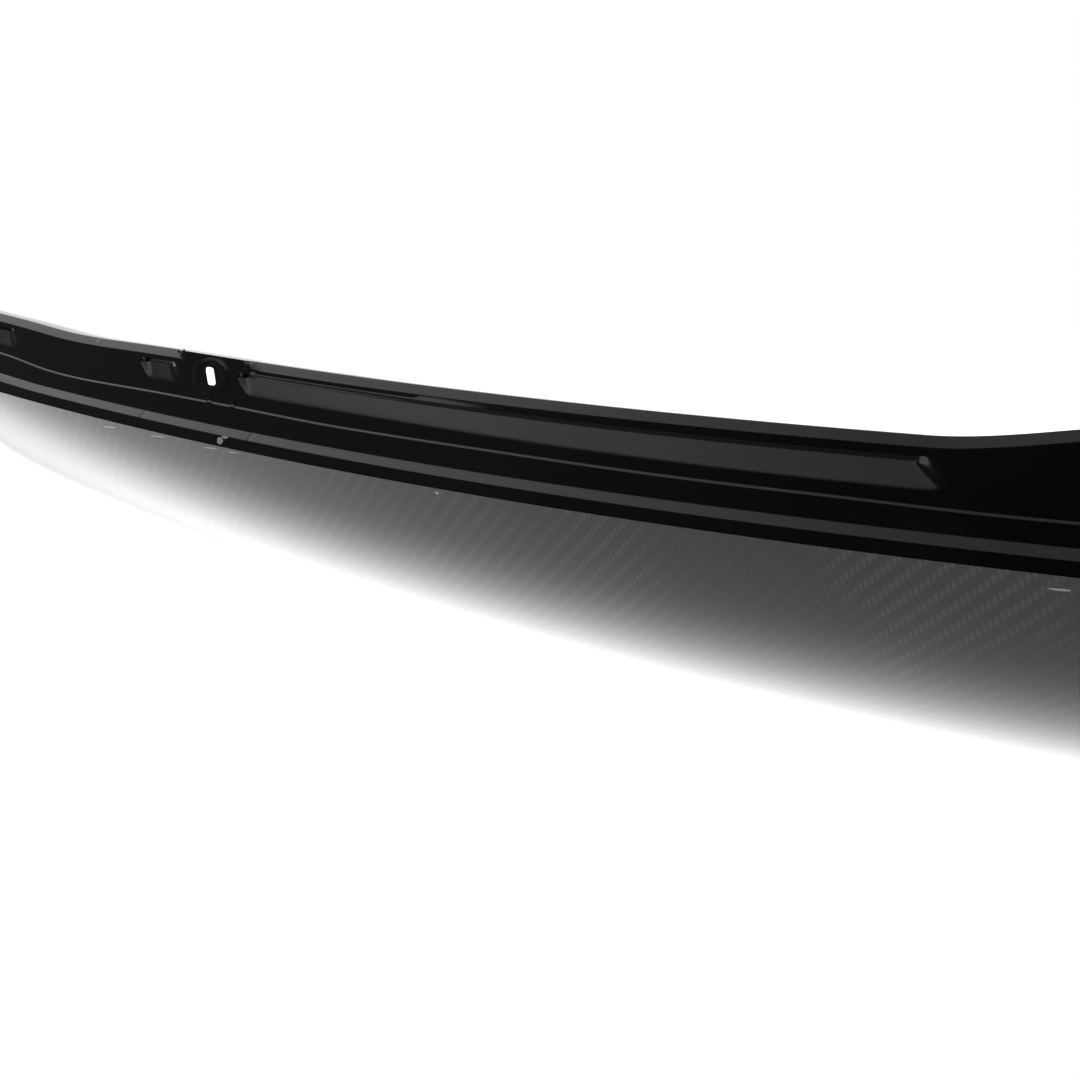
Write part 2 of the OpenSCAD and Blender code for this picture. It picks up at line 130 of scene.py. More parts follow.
def outer_z(x, y, half):
    t = np.maximum(0, y - front_y(x))
    w = off_centre(x)
    return (CROWN * w + (NOSE_TIGHT - TIGHT_FADE * w) * np.exp(-t / TIGHT_REACH)
            + (NOSE_LONG - LONG_FADE * w) * np.exp(-t / LONG_REACH)
            + REAR_RISE * (t / LENGTH) ** 2 + SIDE_TURN * np.exp((np.abs(x) - half) / SIDE_REACH))


def slope(x, y):
    t = np.maximum(0, y - front_y(x))
    w = off_centre(x)
    return (-(NOSE_TIGHT - TIGHT_FADE * w) / TIGHT_REACH * np.exp(-t / TIGHT_REACH)
            - (NOSE_LONG - LONG_FADE * w) / LONG_REACH * np.exp(-t / LONG_REACH)
            + 2 * REAR_RISE * t / LENGTH ** 2)


def inner_z(x, y, half):
    return outer_z(x, y, half) + SKIN_THICK * np.sqrt(1 + slope(x, y) ** 2)


def bonded_z(x, y, half):
    """Height of the frame's upper face where it is bonded down."""
    ax = np.abs(x)
    sweep = 2 * FRONT_BOW * ax / REF_HALF ** 2 + CORNER_CUT * CORNER_POWER / HALF_FRONT * \
        np.minimum(1, ax / HALF_FRONT) ** (CORNER_POWER - 1)
    across = 2 * CROWN * ax / REF_HALF ** 2 + SIDE_TURN / SIDE_REACH * np.exp((ax - half) / SIDE_REACH) \
        - sweep * slope(x, y)
    lean = np.sqrt(1 + slope(x, y) ** 2 + across ** 2)
    return inner_z(x, y, half) + (BOND_GAP + FRAME_THICK) * lean


def shelf_share(x):
    """1 on the raised shelf at the middle of the front rail, and 0 beside it."""
    return falling(np.abs(x), BRACE[3], BRACE[3] - BRACE[0])


def past_rail(x):
    """0 up to the outer edge of the side rail's top, and 1 past the rail."""
    return rising(np.abs(x), SIDE[3], SIDE[4] - SIDE[3])


# The CAD part's origin is under the middle of its box.
skin_lo, skin_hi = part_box("outer_skin")
Y_MID = -skin_lo[1] / MM
Y_END = skin_hi[1] / MM
EDGE_Z0 = float(outer_z(0.0, 0.0, HALF_FRONT))
Z_LOW = min(float(outer_z(0.0, row_y(0.0, 0.0, f), half_at(f))) for f in MIDDLE)


def placed(x, y, z):
    return np.stack([x, np.minimum(y - Y_MID, Y_END), np.maximum(z - Z_LOW, 0)], -1) * MM


# ---------------------------------------------------------------- meshes
def make_mesh(name, verts, faces, uv=None):
    """A mesh object from an array of vertices and an array of quads, with an optional UV per vertex."""
    me = bpy.data.meshes.new(name)
    verts = np.asarray(verts, np.float32).reshape(-1, 3)
    faces = np.asarray(faces, np.int32)
    me.vertices.add(len(verts))
    me.vertices.foreach_set("co", verts.ravel())
    me.loops.add(faces.size)
    me.loops.foreach_set("vertex_index", faces.ravel())
    me.polygons.add(len(faces))
    me.polygons.foreach_set("loop_start", np.arange(0, faces.size, faces.shape[1], dtype=np.int32))
    me.polygons.foreach_set("use_smooth", np.ones(len(faces), bool))
    if uv is not None:
        layer = me.uv_layers.new(name="weave")
        layer.data.foreach_set("uv", np.asarray(uv, np.float32).reshape(-1, 2)[faces.ravel()].ravel())
    me.update(calc_edges=True)
    me.validate()
    ob = bpy.data.objects.new(name, me)
    bpy.context.scene.collection.objects.link(ob)
    return ob


def grid_quads(rows, cols):
    a = (np.arange(rows - 1)[:, None] * cols + np.arange(cols - 1)[None, :]).ravel()
    return np.stack([a, a + 1, a + cols + 1, a + cols], -1)


def shell(name, top, under, keep=None, uv=None, sharp=40.0):
    """A closed shell between two grids of points, over the cells that are kept."""
    rows, cols = top.shape[:2]
    size = rows * cols
    quads = grid_quads(rows, cols)
    if keep is not None:
        quads = quads[keep.ravel()]
    edges = np.concatenate([quads[:, [k, (k + 1) % 4]] for k in range(4)])
    there = edges[:, 0] * size + edges[:, 1]
    back = edges[:, 1] * size + edges[:, 0]
    rim = edges[~np.isin(there, back)]
    walls = np.stack([rim[:, 1], rim[:, 0], rim[:, 0] + size, rim[:, 1] + size], -1)
    faces = np.concatenate([quads, quads[:, ::-1] + size, walls])
    used, faces = np.unique(faces, return_inverse=True)
    verts = np.concatenate([top.reshape(-1, 3), under.reshape(-1, 3)])[used]
    uvs = None if uv is None else np.concatenate([uv.reshape(-1, 2)] * 2)[used]
    ob = make_mesh(name, verts, faces.reshape(-1, 4), uvs)
    ob.data.set_sharp_from_angle(angle=math.radians(sharp))
    sides = np.zeros(len(faces.reshape(-1, 4)), np.int32)
    sides[-len(walls):] = 1
    return ob, sides


def grid_normals(p):
    n = np.cross(np.gradient(p, axis=1), np.gradient(p, axis=0))
    return n / np.linalg.norm(n, axis=-1, keepdims=True)


def fine(breaks, step):
    """Values from the first break to the last that hit every break, about step apart."""
    out = []
    for a, b in zip(breaks, breaks[1:]):
        n = max(1, int(math.ceil((b - a) / step - 1e-6)))
        out += [a + (b - a) * k / n for k in range(n)]
    return out + [breaks[-1]]


# Rows behind the nose, as (a, f)
ROW_BREAKS = [(FLANGE_END, 0.0)] + [(0.0, f) for f in MIDDLE] + [(a, 1.0) for a in REAR]


def fine_rows(breaks, step):
    out = []
    for (a0, f0), (a1, f1) in zip(breaks, breaks[1:]):
        n = max(1, round(((a1 - a0) + (f1 - f0) * LENGTH) / step))
        out += [(a0 + (a1 - a0) * k / n, f0 + (f1 - f0) * k / n) for k in range(n)]
    return out + [breaks[-1]]


def both_sides(half):
    return np.array([-v for v in half[:0:-1]] + list(half))


def arc_length_uv(p):
    """Distances over the surface: across from the centre line, and back from the nose, in metres."""
    du = np.linalg.norm(np.diff(p, axis=1), axis=-1)
    u = np.concatenate([np.zeros((len(p), 1)), np.cumsum(du, axis=1)], 1)
    u -= u[:, p.shape[1] // 2][:, None]
    dv = np.linalg.norm(np.diff(p, axis=0), axis=-1)
    v = np.concatenate([np.zeros((1, p.shape[1])), np.cumsum(dv, axis=0)], 0)
    return np.stack([u, v], -1)


def build_skin():
    cols = both_sides(fine([0, SIDE[0], 680.0], 6.0)[:-1] + fine([680.0, HALF_FRONT], 2.5))
    t = fine([0, 12, 60, FLANGE_END], 2.0)[:-1]
    rows = [(a, 0.0) for a in t] + fine_rows(ROW_BREAKS + [(0.0, 1.0)], 9.0)
    a = np.array([r[0] for r in rows])[:, None]
    f = np.array([r[1] for r in rows])[:, None]
    x, y, half = col_x(cols[None, :], f), row_y(cols[None, :], a, f), half_at(f)
    under = placed(x, y, outer_z(x, y, half))
    set_back = np.where(f > 0, 0, 2.3 * np.exp(-a / 3.0))
    top = placed(x, y + set_back, inner_z(x, y + set_back, half))
    ob, sides = shell("carbon_outer_skin", top, under, uv=arc_length_uv(under))
    ob.data.materials.append(carbon_weave())
    ob.data.materials.append(gloss_black())
    ob.data.polygons.foreach_set("material_index", sides)
    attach(ob, "bonnet")
    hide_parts("outer_skin")


# The upper part of the front wall, which holds the pockets and the slots: (behind the skin's edge, above it)
UPPER_LOW, LIP_FOOT = (7.9, 21.6), (10.3, 31.3)
# Section of the frame's front wall, lip and shelf: (behind the skin's edge, above it, fillet radius)
WALL = ((0.5, 0.12, 0), (1.37, 4.6, 0.25), (5.0, 7.7, 0.5), (6.2, 16.6, 0.35), (7.0, 17.3, 0.35),
        (*UPPER_LOW, 0), (*LIP_FOOT, 0), (10.36, 31.5, 0), (10.44, 31.75, 0), (10.9, 33.3, 0.4),
        (14.2, WALL_HEIGHT, 0.5), (18.5, WALL_HEIGHT - 0.1, 1.0), (26.0, WALL_HEIGHT - 0.5, 0),
        (32.0, WALL_HEIGHT - 1.5, 2.0), (46.0, 12.0, 0))
# Rows nearer than this are on the wall's face
FACE_DEEP = 12.0
# The level top of the lip and shelf lies between these rows
TOP_NEAR, TOP_FAR = 18.0, 32.0
SHELF_BACK = ((18.0, 0), (26.0, 32), (32.0, 34), (46.0, 24), (60.0, 16), (FLANGE_START, 0))
POCKETS = ((157.0, 457.0), (500.0, 523.0), (629.0, 683.0))
POCKET_LOW, POCKET_HIGH, POCKET_TOP, POCKET_DEPTH, POCKET_SLANT = 21.9, 30.2, 31.1, 2.0, 8.0
# How each pocket's ends slope in: where the slope starts or stops, and its length
POCKET_NEAR_END, POCKET_FAR_END = (6, 7.0), (2.5, 3.0)
# The pocket at the corner lies past this place across and is deeper by this share
CORNER_FROM, CORNER_DEEPER = 600, 0.35


def rounded(points, steps=4, step=1.2):
    """Points along a line with its corners rounded, about step apart on its straights."""
    pts = [np.array(p[:2]) for p in points]
    out = [pts[0]]
    for k in range(1, len(pts) - 1):
        r, p = points[k][2], pts[k]
        if not r:
            out.append(p)
            continue
        d0, d1 = pts[k - 1] - p, pts[k + 1] - p
        l0, l1 = np.linalg.norm(d0), np.linalg.norm(d1)
        d0, d1 = d0 / l0, d1 / l1
        half = math.acos(float(np.clip(d0 @ d1, -1, 1))) / 2
        cut = min(r / math.tan(half), 0.48 * l0, 0.48 * l1)
        a, b = p + d0 * cut, p + d1 * cut
        for s in np.linspace(0, 1, steps + 1):
            out.append((1 - s) ** 2 * a + 2 * s * (1 - s) * p + s ** 2 * b)
    out.append(pts[-1])
    fine_pts = [out[0]]
    for q in out[1:]:
        n = max(1, int(np.linalg.norm(q - fine_pts[-1]) / step))
        start = fine_pts[-1]
        fine_pts += [start + (q - start) * (k + 1) / n for k in range(n)]
    return np.array(fine_pts)


# The clip slot: its middle as (across, above the skin's edge), its size, and how far its ends lean
SLOT_AT, SLOT_SIZE, SLOT_LEAN, SLOT_ROUND = (479.1, 27.9), (5.5, 7.4), 1.9, 1.3
# The thin moulding round it: half sizes, height and width
BOSS_HALF, BOSS_HEIGHT, BOSS_WIDTH = (9.5, 6.3), 0.5, 0.24
# The flat clip pad in the lip: its ends across at the given height, and how far they lean
PAD_ENDS, PAD_LEANS, PAD_LEVEL, PAD_TOP_BACK = (447, 501), (3.2, 1.7), 34, 11.8
# The bead under the lip: its ends across, and its height
BEAD_ENDS, BEAD_HEIGHT = (310, 456), 0.4
# Nicks in the crease and joints in the foot, by their places across
CREASE_AT, NICKS, JOINTS = 17.6, (477.1, 462.3), (518.5, 447.7)
# The hole behind each clip slot: across, and behind the skin's edge
ACCESS = ((488.0, 525.0), (25.5, 45.0))


def pocket_depth(x, dz):
    """Depth of the pockets pressed into the front wall: floors that lean back, with slanted ends."""
    lean = POCKET_SLANT * (dz - POCKET_LOW) / (POCKET_HIGH - POCKET_LOW)
    share = np.zeros(np.broadcast(x, dz).shape)
    for near, far in POCKETS:
        s = np.abs(x) - lean
        near_end = rising(s, near - POCKET_NEAR_END[0], POCKET_NEAR_END[1])
        far_end = falling(s, far - POCKET_FAR_END[0], POCKET_FAR_END[1])
        share = np.maximum(share, near_end * far_end)
    floor = np.clip((dz - POCKET_LOW) / (POCKET_HIGH - POCKET_LOW), 0, 1)
    depth = POCKET_DEPTH * (1 + CORNER_DEEPER * (np.abs(x) > CORNER_FROM))
    return depth * share * floor * falling(dz, POCKET_TOP, POCKET_TOP - POCKET_HIGH)


def hats(x, a, f):
    """Height share of the hat sections over their flanges."""
    ax = np.abs(x)
    brace = smooth(lookup(ax, ((BRACE[1], 0), (BRACE[2], 1), (BRACE[3], 1), (BRACE[4], 0))))
    side = smooth(lookup(ax, ((SIDE[1], 0), (SIDE[2], 1), (SIDE[3], 1), (SIDE[4], 0))))
    rear = smooth(lookup(a, ((REAR[2], 0), (REAR[3], 1), (REAR[4], 1), (REAR[5], 0)))) * (f >= 1)
    keep = np.where((f >= 1) & (a > REAR[4]), smooth(lookup(a, ((REAR[4], 1), (REAR[5], 0)))), 1.0)
    return np.maximum(np.maximum(brace, side) * keep, rear)


def level_z(x, a, f):
    return bonded_z(col_x(x, f), row_y(x, a, f), half_at(f))


def pad_z(r0, r1, drop=0.0):
    """Height of a flat pad on the side rail between two rows, as in the CAD part."""
    return (level_z(SIDE[2], *r0) + level_z(SIDE[3], *r1)) / 2 + HAT_HEIGHT - drop


def round_corners(points, r, steps=8):
    """A closed outline with its corners rounded."""
    out = []
    for k, p in enumerate(points):
        p = np.array(p, float)
        d0, d1 = np.array(points[k - 1]) - p, np.array(points[(k + 1) % len(points)]) - p
        d0, d1 = d0 / np.linalg.norm(d0), d1 / np.linalg.norm(d1)
        half = math.acos(float(np.clip(d0 @ d1, -1, 1))) / 2
        if half > 1.45:
            out.append(p)
            continue
        cut = r / math.tan(half)
        for s in np.linspace(0, 1, steps + 1):
            out.append((1 - s) ** 2 * (p + d0 * cut) + 2 * s * (1 - s) * p + s ** 2 * (p + d1 * cut))
    return np.array(out)


def window_outline(near, far):
    """Outline of a window of the frame between two columns, in plan."""
    fs = [(FLANGE_END, 0.0)] + [(0.0, f) for f in np.linspace(0.16, 0.8, 17)] + [(REAR[1], 1.0)]
    sides = [[(float(col_x(c, f)), float(row_y(c, a, f))) for a, f in fs] for c in (near, far)]
    mids = np.linspace(near, far, 5)[1:-1]
    ends = [[(float(col_x(m, f)), float(row_y(m, a, f))) for m in mids] for a, f in (fs[0], fs[-1])]
    return round_corners(sides[0][::-1] + ends[0] + sides[1] + ends[1][::-1], 24.0)


def inside(outline, u, v):
    """Which points lie inside a closed outline."""
    hit = np.zeros(u.shape, bool)
    for (x0, y0), (x1, y1) in zip(outline, np.roll(outline, -1, 0)):
        if y0 != y1:
            cross = (y0 > v) != (y1 > v)
            hit ^= cross & (u < x0 + (v - y0) * (x1 - x0) / (y1 - y0))
    return hit


def nearest(outline, u, v):
    """The nearest points of a closed outline."""
    best = np.full(u.shape, np.inf)
    bu, bv = u.copy(), v.copy()
    for (x0, y0), (x1, y1) in zip(outline, np.roll(outline, -1, 0)):
        dx, dy = x1 - x0, y1 - y0
        s = np.clip(((u - x0) * dx + (v - y0) * dy) / max(dx * dx + dy * dy, 1e-12), 0, 1)
        qu, qv = x0 + s * dx, y0 + s * dy
        d = (u - qu) ** 2 + (v - qv) ** 2
        closer = d < best
        best = np.where(closer, d, best)
        bu, bv = np.where(closer, qu, bu), np.where(closer, qv, bv)
    return bu, bv


def open_up(keep, outline, u, v):
    """Drop the cells inside an outline and draw the corners left around them onto it."""
    cu = (u[:-1, :-1] + u[1:, 1:]) / 2
    cv = (v[:-1, :-1] + v[1:, 1:]) / 2
    gone = inside(outline, cu, cv)
    keep &= ~gone
    touch = np.zeros(u.shape, bool)
    left = np.zeros(u.shape, bool)
    for dj in (0, 1):
        for di in (0, 1):
            part = (slice(dj, u.shape[0] - 1 + dj), slice(di, u.shape[1] - 1 + di))
            touch[part] |= gone
            left[part] |= ~gone
    rim = touch & left
    u[rim], v[rim] = nearest(outline, u[rim], v[rim])
    return rim


SECTION = rounded(WALL)
# A place that lies outside every outline
NOWHERE = -99.0


def clip_pad(ax, t, dz):
    """Share of the flat pad that stands in the lip's place round the clip slot."""
    near = smooth((ax - PAD_LEANS[0] * (dz - PAD_LEVEL) - PAD_ENDS[0]) / 4)
    far = smooth((PAD_ENDS[1] - ax + PAD_LEANS[1] * (dz - PAD_LEVEL)) / 4)
    return near * far * falling(t, 18.4, 4.2) * (dz > LIP_FOOT[1])


def face_relief(ax, t, dz):
    """How far the wall's face is set back by its pockets, bead, moulding, nicks and joints."""
    on_face = t < FACE_DEEP
    near, far = BEAD_ENDS
    bead = BEAD_HEIGHT * rising(dz, 31.5, 0.2) * rising(ax, near, 70) * falling(ax, far, 4)
    ring = np.hypot((ax - SLOT_AT[0]) / BOSS_HALF[0], (dz - SLOT_AT[1]) / BOSS_HALF[1])
    boss = BOSS_HEIGHT * hump(ring, 1, BOSS_WIDTH) * rising(dz, 19.5, 1.5)
    nick = sum(hump(ax, at, 1.2) for at in NICKS) * (np.abs(dz - CREASE_AT) < 1.4)
    joint = sum(hump(ax, at, 0.8) for at in JOINTS) * (dz < 8.5) * (dz > 4)
    return (pocket_depth(ax, dz) + bead - boss) * on_face - 0.3 * nick + 0.35 * joint


def wall_sag(ax, t, dz):
    """How far the lines along the wall lie above their places in the section."""
    low_wall = 1.35 * falling(ax, 430, 220) * rising(dz, 10, 5) * falling(dz, 33, 2.5)
    crease = (0.7 * falling(ax, 470, 70) * rising(ax, 300, 120) + 0.7 * falling(ax, 200, 70)
              - 1.3 * rising(ax, 598, 40)) * hump(dz, 17, 3.2)
    ledge = 0.7 * rising(ax, 600, 40) * hump(dz, 6.5, 3)
    nick = 0.5 * sum(hump(ax, at, 1.2) for at in NICKS) * (np.abs(dz - CREASE_AT) < 1.4)
    dip = 1.8 * hump(ax, 580, np.where(ax > 580, 38, 50)) * rising(dz, 9, 7)
    return (ledge - low_wall - crease + nick) * (t < TOP_NEAR) - dip


def wall_part(x, t, dz):
    """Points of the front wall, lip and shelf from the place behind and over the skin's edge."""
    ax = np.abs(x)
    upright = np.interp(dz, (LIP_FOOT[1], WALL_HEIGHT), (LIP_FOOT[0], PAD_TOP_BACK)) - t
    y = (front_y(x) + t + shelf_share(x) * lookup(t, SHELF_BACK) + upright * clip_pad(ax, t, dz)
         + face_relief(ax, t, dz))
    ramp = rising(dz, 12, 20) * (t > TOP_NEAR) + rising(dz, 18.6, 12) * (t <= TOP_NEAR)
    rise = SHELF_RISE * falling(ax, RISE_REACH[1], RISE_REACH[1] - RISE_REACH[0]) * ramp
    high = outer_z(x, front_y(x), HALF_FRONT) + dz + rise
    on_shelf = falling(ax, 76, 12) * (t >= TOP_NEAR) * (t <= TOP_FAR)
    high = high + (EDGE_Z0 + WALL_HEIGHT + SHELF_RISE - high) * on_shelf + wall_sag(ax, t, dz)
    low = bonded_z(x, y, HALF_FRONT)
    return np.stack([x, y, high + (low - high) * past_rail(x)], -1)


def frame_columns():
    """Places across, close together where the shape turns."""
    half = fine([0, *BRACE, 150, 172, 440, 530, *SIDE], 5.0)
    half += [v for a, b in ((148, 172), (440, 532), (621, 640), (676, 690)) for v in np.arange(a, b, 1.0)]
    half += [v for k in (1, 3) for c in (BRACE, SIDE) for v in np.arange(c[k], c[k + 1], 1.5)]
    return both_sides(sorted(set(np.round(half, 3))))


def rail_back(cols, front):
    """The back of the front rail, from the shelf down to its flange."""
    x = cols[None, :]
    s = np.linspace(0, 1, 26)[1:][:, None]
    t0, t1 = 46.0 + shelf_share(x) * 24.0, FLANGE_START
    y = front_y(x) + t0 + (t1 - t0) * s
    z0 = front[-1, :, 2][None, :]
    z1 = level_z(x, FLANGE_START, 0.0) + HAT_HEIGHT * hats(x, FLANGE_START, 0.0)
    low = bonded_z(x, y, HALF_FRONT)
    z = np.maximum(z0 + (z1 - z0) * (s - 0.06 * np.sin(2 * np.pi * s)), low)
    return np.stack(np.broadcast_arrays(x + 0 * y, y, z + (low - z) * past_rail(x)), -1)


def build_frame():
    cols = frame_columns()

    # Front wall, lip and shelf, with the clip slots and the access holes behind them
    x, t = np.meshgrid(cols, SECTION[:, 0])
    dz = np.broadcast_to(SECTION[:, 1][:, None], x.shape).copy()
    plain = [wall_part(x, t, dz)]
    lid = SECTION[SECTION[:, 0] > TOP_NEAR]
    keep = np.ones((len(SECTION) - 1, len(cols) - 1), bool)
    for sign in (-1, 1):
        w, h = SLOT_SIZE[0] / 2, SLOT_SIZE[1] / 2
        slot = [(-w - SLOT_LEAN, -h), (w - SLOT_LEAN, -h), (w + SLOT_LEAN, h), (-w + SLOT_LEAN, h)]
        slot = round_corners(slot, SLOT_ROUND, 4) * (sign, 1) + (sign * SLOT_AT[0], SLOT_AT[1])
        face = np.where(t < FACE_DEEP, dz, NOWHERE)
        rim = open_up(keep, slot, x, face)
        dz[rim] = face[rim]
        t[rim] = np.interp(dz[rim], (UPPER_LOW[1], LIP_FOOT[1]), (UPPER_LOW[0], LIP_FOOT[0]))
        (x0, x1), (t0, t1) = ACCESS
        hole = round_corners([(sign * x0, t0), (sign * x1, t0), (sign * x1, t1), (sign * x0, t1)], 5.0)
        late = np.where(dz > 11, t, NOWHERE) * (t > 20)
        rim = open_up(keep, hole, x, late)
        t[rim] = late[rim]
        dz[rim] = np.interp(t[rim], lid[:, 0], lid[:, 1])
    front = wall_part(x, t, dz)

    back = rail_back(cols, front)

    # The rest: flanges, side rails, braces and rear rail
    rows = [(FLANGE_START + k * 4.0, 0.0) for k in range(1, 4)]
    rows += fine_rows(ROW_BREAKS[:9], 10.0)[:-1] + fine_rows(ROW_BREAKS[8:], 2.5)
    x = cols[None, :]
    a = np.array([r[0] for r in rows])[:, None]
    f = np.array([r[1] for r in rows])[:, None]
    px, py = col_x(x, f), row_y(x, a, f)
    pz = bonded_z(px, py, half_at(f)) + HAT_HEIGHT * hats(x, a, f)
    on_rail = (rising(np.abs(x), SIDE[1], SIDE[2] - SIDE[1])
               * falling(np.abs(x), SIDE[4], SIDE[4] - SIDE[3]))
    place = a + f * LENGTH
    for r0, r1, before, after, drop in (((0.0, MIDDLE[1]), (0.0, MIDDLE[2]), 60.0, 60.0, 0.0),
                                        ((REAR[0], 1.0), (REAR[4], 1.0), 60.0, 10.0, HINGE_DROP)):
        p0, p1 = r0[0] + r0[1] * LENGTH, r1[0] + r1[1] * LENGTH
        along = smooth((place - (p0 - before)) / before) * smooth(((p1 + after) - place) / after)
        pz = pz + (pad_z(r0, r1, drop) - pz) * on_rail * along
    plain += [back, np.stack([px, py, pz], -1)]
    open_cells = np.ones((len(rows) - 1, len(cols) - 1), bool)
    for near, far in ((-BRACE[0], BRACE[0]), (BRACE[5], SIDE[0]), (-SIDE[0], -BRACE[5])):
        rim = open_up(open_cells, window_outline(near, far), px, py)
        level = bonded_z(px, py, half_at(f) + 0 * px)
        pz[rim] = level[rim]
    rest = np.stack([px, py, pz], -1)

    p = np.concatenate([front, back, rest])
    x_all = p[..., 0]
    dz_all = np.concatenate([dz, np.full((len(p) - len(dz), len(cols)), NOWHERE)])
    full = np.ones((len(p) - 1, len(cols) - 1), bool)
    full[:len(keep)] = keep
    full[-len(open_cells):] = open_cells
    top = placed(p[..., 0], p[..., 1], p[..., 2])
    wall_u, wall_dz = np.abs(x_all) - SLOT_AT[0], dz_all - SLOT_AT[1]
    thin = 1 - smooth((np.hypot(wall_u / 4.4, wall_dz / 4.8) - 1) / 1.3)
    thick = FRAME_THICK * (1 - 0.85 * thin)[..., None]
    under = top - thick * MM * grid_normals(np.concatenate(plain))
    ob, _ = shell("moulded_inner_frame", top, under, full)
    ob.data.materials.append(gloss_black())
    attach(ob, "bonnet")
    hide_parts("inner_frame")


# ---------------------------------------------------------------- materials
class Nodes:
    """Short calls for building a node tree."""

    def __init__(self, tree):
        self.tree = tree
        tree.nodes.clear()

    def add(self, kind, **values):
        node = self.tree.nodes.new(kind)
        for key, value in values.items():
            setattr(node, key, value)
        return node

    def link(self, a, b):
        self.tree.links.new(a, b)

    def math(self, op, a, b=None, c=None):
        node = self.add("ShaderNodeMath", operation=op)
        for k, v in enumerate((a, b, c)):
            if v is None:
                continue
            if isinstance(v, (int, float)):
                node.inputs[k].default_value = v
            else:
                self.link(v, node.inputs[k])
        return node.outputs[0]

    def ramp(self, v, lo, hi, out_lo=0.0, out_hi=1.0):
        node = self.add("ShaderNodeMapRange", interpolation_type="SMOOTHSTEP")
        for name, value in (("From Min", lo), ("From Max", hi), ("To Min", out_lo), ("To Max", out_hi)):
            node.inputs[name].default_value = value
        self.link(v, node.inputs["Value"])
        return node.outputs[0]

    def mix(self, factor, a, b):
        node = self.add("ShaderNodeMix", data_type="RGBA")
        for socket, v in ((node.inputs[0], factor), (node.inputs[6], a), (node.inputs[7], b)):
            if isinstance(v, (int, float)):
                socket.default_value = v
            elif isinstance(v, tuple):
                socket.default_value = (*v, 1.0)
            else:
                self.link(v, socket)
        return node.outputs[2]

    def noise(self, scale, detail=4.0, rough=0.5, stretch=None):
        tex = self.add("ShaderNodeTexNoise")
        tex.inputs["Scale"].default_value = scale
        tex.inputs["Detail"].default_value = detail
        tex.inputs["Roughness"].default_value = rough
        source = self.add("ShaderNodeTexCoord").outputs["Object"]
        if stretch:
            mapping = self.add("ShaderNodeMapping")
            mapping.inputs["Scale"].default_value = stretch
            self.link(source, mapping.inputs["Vector"])
            source = mapping.outputs[0]
        self.link(source, tex.inputs["Vector"])
        return tex.outputs["Fac"]

    def marks(self, spots):
        """1 inside small uneven marks: each spot is its place from the edge and its half sizes."""
        total = None
        place = self.add("ShaderNodeTexCoord").outputs["Object"]
        rough_edge = self.math("MULTIPLY_ADD", self.noise(900.0, 3.0), 1.2, 0.35)
        for place_from_edge, size in spots:
            middle = from_edge(*place_from_edge)
            mapping = self.add("ShaderNodeMapping")
            mapping.inputs["Location"].default_value = [-float(m) / s for m, s in zip(middle, size)]
            mapping.inputs["Scale"].default_value = [1000 / s for s in size]
            self.link(place, mapping.inputs["Vector"])
            far = self.add("ShaderNodeVectorMath", operation="LENGTH")
            self.link(mapping.outputs[0], far.inputs[0])
            hit = self.math("LESS_THAN", far.outputs["Value"], rough_edge)
            total = hit if total is None else self.math("MAXIMUM", total, hit)
        return total

    def bump(self, height, distance, strength=1.0):
        node = self.add("ShaderNodeBump")
        node.inputs["Distance"].default_value = distance
        node.inputs["Strength"].default_value = strength
        self.link(height, node.inputs["Height"])
        return node.outputs["Normal"]

    def principled(self, **values):
        shader = self.add("ShaderNodeBsdfPrincipled")
        for name, value in values.items():
            socket = shader.inputs[name.replace("_", " ")]
            if isinstance(value, (int, float)):
                socket.default_value = value
            else:
                self.link(value, socket)
        out = self.add("ShaderNodeOutputMaterial")
        self.link(shader.outputs[0], out.inputs["Surface"])
        return shader


def material(name):
    mat = bpy.data.materials.new(name)
    mat.use_nodes = True
    return mat, Nodes(mat.node_tree)


# Chips and scratches: (across, behind the skin's edge, above it), then their half sizes
EDGE_CHIPS = (((-542, 2.08, -3.15), (6, 3, 0.35)), ((-505.6, 1.94, -1.86), (6, 3, 0.3)),
              ((-470, 2.06, -1.71), (6, 3, 0.3)), ((-456, 2.05, -1.42), (4, 3, 0.25)),
              ((-118, 2.21, -4.34), (3.4, 3, 0.4)), ((-344.4, 0.98, -1.84), (1.1, 3, 0.7)))
FRAME_CHIPS = (((-464.5, 0.93, 2.3), (2.0, 3, 1.5)), ((-461.5, 0.99, 4.18), (2.0, 3, 0.6)),
               ((-563.9, 12.93, 34.64), (0.5, 4, 2.0)))


def from_edge(x, behind, above):
    """A point of the placed part, in millimetres, from its place behind and above the skin's edge."""
    y = front_y(x)
    return x, y + behind - Y_MID, outer_z(x, y, HALF_FRONT) + above - Z_LOW


TOW_WIDTH = 0.002


